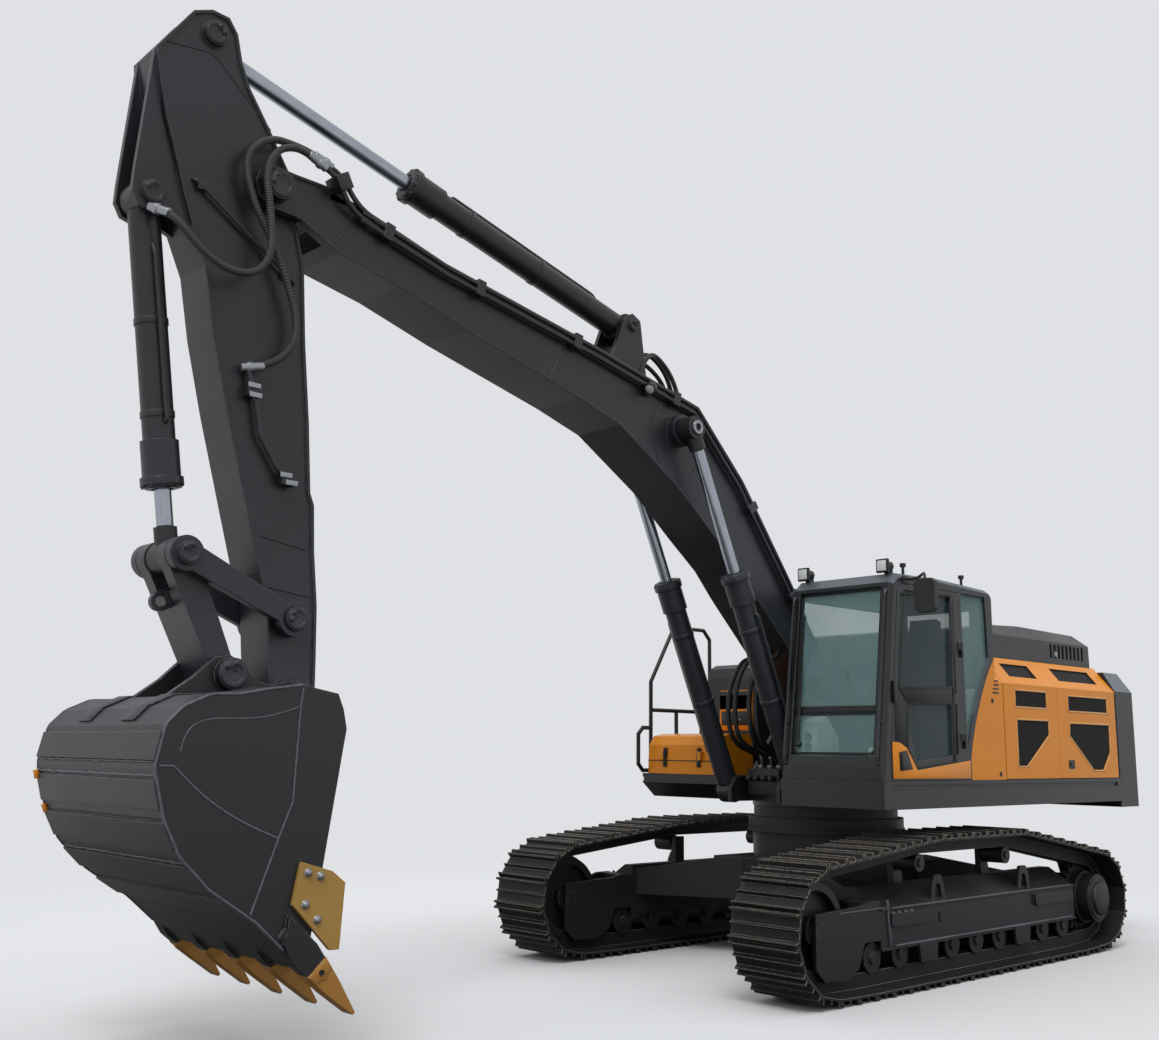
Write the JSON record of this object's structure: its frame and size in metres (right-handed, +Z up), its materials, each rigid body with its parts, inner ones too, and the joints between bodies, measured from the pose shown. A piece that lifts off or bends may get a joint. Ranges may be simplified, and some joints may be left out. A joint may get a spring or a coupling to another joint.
{
  "type": "crawler excavator",
  "caption": "Crawler excavator with a cab, a slewing deck, a boom, a stick and a toothed bucket moved by hydraulic cylinders, on two tracks.",
  "frame": {"origin": "on the ground under the slew axis", "axes": "+X forward to the bucket, +Y to the cab side, +Z up"},
  "size_m": [10.295, 3.55, 6.289],
  "materials": {
    "charcoal_paint": "satin charcoal paint",
    "orange_paint": "gloss orange paint",
    "chrome_rod": "hard chrome",
    "worn_steel": "dark steel with bright worn edges",
    "tinted_glass": "blue-green tinted glass",
    "cab_plastic": "grey cab trim",
    "black_plastic": "black moulded plastic",
    "engine_iron": "dark engine paint",
    "tooth_bronze": "bronze-orange paint on cast steel",
    "cutter_gold": "tan-gold paint on plate"
  },
  "bodies": {
    "undercarriage": {"carbody": "charcoal_paint", "slew_bearing": "charcoal_paint", "track_left": "worn_steel", "track_right": "worn_steel", "track_frame_left": "charcoal_paint", "track_frame_right": "charcoal_paint", "idler_left": "worn_steel", "idler_right": "worn_steel", "sprocket_left": "worn_steel", "sprocket_right": "worn_steel", "track_rollers_left": "worn_steel", "track_rollers_right": "worn_steel"},
    "upper_structure": {"main_frame": "charcoal_paint", "counterweight": "charcoal_paint", "engine_block": "engine_iron", "machinery_house": "charcoal_paint", "sweep_panel": "orange_paint", "cab_frame": "charcoal_paint", "cab_glass": "tinted_glass", "operator_chair": "cab_plastic", "tool_box": "orange_paint", "tank": "orange_paint", "handrails": "charcoal_paint", "cab_lamps": "black_plastic", "mirror": "black_plastic"},
    "boom": {"boom": "charcoal_paint", "boom_pipes": "charcoal_paint"},
    "stick": {"stick": "charcoal_paint", "stick_pipes": "charcoal_paint"},
    "side_links": {"side_links": "charcoal_paint"},
    "bucket_link": {"bucket_link": "charcoal_paint"},
    "bucket": {"bucket": "charcoal_paint", "bucket_teeth": "tooth_bronze", "side_cutters": "cutter_gold"},
    "cab_door": {"cab_door": "charcoal_paint", "door_glass": "tinted_glass"},
    "engine_hood": {"engine_hood": "charcoal_paint"},
    "tool_box_lid": {"tool_box_lid": "orange_paint"},
    "boom_cylinder_left_barrel": {"boom_cylinder_left_barrel": "charcoal_paint"},
    "boom_cylinder_left_rod": {"boom_cylinder_left_rod": "chrome_rod"},
    "boom_cylinder_right_barrel": {"boom_cylinder_right_barrel": "charcoal_paint"},
    "boom_cylinder_right_rod": {"boom_cylinder_right_rod": "chrome_rod"},
    "stick_cylinder_barrel": {"stick_cylinder_barrel": "charcoal_paint"},
    "stick_cylinder_rod": {"stick_cylinder_rod": "chrome_rod"},
    "bucket_cylinder_barrel": {"bucket_cylinder_barrel": "charcoal_paint"},
    "bucket_cylinder_rod": {"bucket_cylinder_rod": "chrome_rod"},
    "side_door_front_left": {"side_door_front_left": "orange_paint"},
    "side_door_front_right": {"side_door_front_right": "orange_paint"},
    "side_door_rear_left": {"side_door_rear_left": "orange_paint"},
    "side_door_rear_right": {"side_door_rear_right": "orange_paint"}
  },
  "joints": [
    {"name": "slew", "type": "hinge", "parent": "undercarriage", "child": "upper_structure", "pos_m": [0, 0, 1.319], "axis": [0, 0, 1], "continuous": true},
    {"name": "boom_lift", "type": "hinge", "parent": "upper_structure", "child": "boom", "pos_m": [0.08, 0, 2.02], "axis": [0, -1, 0], "range_deg": [-62, 34]},
    {"name": "stick_crowd", "type": "hinge", "parent": "boom", "child": "stick", "pos_m": [5.963, 0, 5.23], "axis": [0, 1, 0], "range_deg": [-88, 18]},
    {"name": "bucket_curl", "type": "hinge", "parent": "stick", "child": "bucket", "pos_m": [5.62, 0, 2.02], "axis": [0, 1, 0], "range_deg": [-22, 145]},
    {"name": "side_link_swing", "type": "hinge", "parent": "stick", "child": "side_links", "pos_m": [5.68, 0, 2.505], "axis": [0, 1, 0], "range_deg": [-14.42, 93.38]},
    {"name": "bucket_link_swing", "type": "hinge", "parent": "side_links", "child": "bucket_link", "pos_m": [6.404, 0, 2.829], "axis": [0, 1, 0], "range_deg": [-49.54, 7.77]},
    {"name": "boom_cylinder_left_swing", "type": "hinge", "parent": "upper_structure", "child": "boom_cylinder_left_barrel", "pos_m": [0.88, 0.38, 1.41], "axis": [0, -1, 0], "range_deg": [-65.31, 35.95]},
    {"name": "boom_cylinder_left_stroke", "type": "slide", "parent": "boom_cylinder_left_barrel", "child": "boom_cylinder_left_rod", "axis": [0.4157, 0, 0.9095], "range_m": [-1.0193, 0.5599]},
    {"name": "boom_cylinder_right_swing", "type": "hinge", "parent": "upper_structure", "child": "boom_cylinder_right_barrel", "pos_m": [0.88, -0.38, 1.41], "axis": [0, -1, 0], "range_deg": [-65.31, 35.95]},
    {"name": "boom_cylinder_right_stroke", "type": "slide", "parent": "boom_cylinder_right_barrel", "child": "boom_cylinder_right_rod", "axis": [0.4157, 0, 0.9095], "range_m": [-1.0193, 0.5599]},
    {"name": "stick_cylinder_swing", "type": "hinge", "parent": "boom", "child": "stick_cylinder_barrel", "pos_m": [2.657, 0, 5.143], "axis": [0, 1, 0], "range_deg": [-4.11, 1.08]},
    {"name": "stick_cylinder_stroke", "type": "slide", "parent": "stick_cylinder_barrel", "child": "stick_cylinder_rod", "axis": [0.9668, 0, 0.2554], "range_m": [-1.4184, 0.2917]},
    {"name": "bucket_cylinder_swing", "type": "hinge", "parent": "stick", "child": "bucket_cylinder_barrel", "pos_m": [6.72, 0, 4.981], "axis": [0, 1, 0], "range_deg": [-0.35, 0.63]},
    {"name": "bucket_cylinder_stroke", "type": "slide", "parent": "bucket_cylinder_barrel", "child": "bucket_cylinder_rod", "axis": [-0.1453, 0, -0.9894], "range_m": [-0.184, 1.2018]},
    {"name": "cab_door_swing", "type": "hinge", "parent": "upper_structure", "child": "cab_door", "pos_m": [0.123, 1.515, 2.2], "axis": [0, 0, 1], "range_deg": [0, 165]},
    {"name": "engine_hood_swing", "type": "hinge", "parent": "upper_structure", "child": "engine_hood", "pos_m": [-1.66, -0.916, 2.6163], "axis": [1, 0, 0], "range_deg": [0, 65]},
    {"name": "tool_box_lid_swing", "type": "hinge", "parent": "upper_structure", "child": "tool_box_lid", "pos_m": [0.33, -0.99, 1.905], "axis": [0, -1, 0], "range_deg": [0, 70]},
    {"name": "side_door_front_left_swing", "type": "hinge", "parent": "upper_structure", "child": "side_door_front_left", "pos_m": [-0.556, 1.5, 1.95], "axis": [0, 0, 1], "range_deg": [-100, 0]},
    {"name": "side_door_rear_left_swing", "type": "hinge", "parent": "upper_structure", "child": "side_door_rear_left", "pos_m": [-2.719, 1.5, 1.95], "axis": [0, 0, -1], "range_deg": [-100, 0]},
    {"name": "side_door_front_right_swing", "type": "hinge", "parent": "upper_structure", "child": "side_door_front_right", "pos_m": [-0.556, -1.5, 1.95], "axis": [0, 0, -1], "range_deg": [-100, 0]},
    {"name": "side_door_rear_right_swing", "type": "hinge", "parent": "upper_structure", "child": "side_door_rear_right", "pos_m": [-2.719, -1.5, 1.95], "axis": [0, 0, 1], "range_deg": [-100, 0]}
  ],
  "couplings": [
    {"joint": "side_link_swing", "follows": "bucket_curl", "ratio": 0.6419},
    {"joint": "bucket_link_swing", "follows": "bucket_curl", "ratio": -0.3396},
    {"joint": "boom_cylinder_left_swing", "follows": "boom_lift", "ratio": 1.0486},
    {"joint": "boom_cylinder_left_stroke", "follows": "boom_lift", "m_per_rad": 0.9401},
    {"joint": "boom_cylinder_right_swing", "follows": "boom_lift", "ratio": 1.0486},
    {"joint": "boom_cylinder_right_stroke", "follows": "boom_lift", "m_per_rad": 0.9401},
    {"joint": "stick_cylinder_swing", "follows": "stick_crowd", "ratio": 0.0433},
    {"joint": "stick_cylinder_stroke", "follows": "stick_crowd", "m_per_rad": 0.9222},
    {"joint": "bucket_cylinder_swing", "follows": "bucket_curl", "ratio": 0.0023},
    {"joint": "bucket_cylinder_stroke", "follows": "bucket_curl", "m_per_rad": 0.4741}
  ]
}
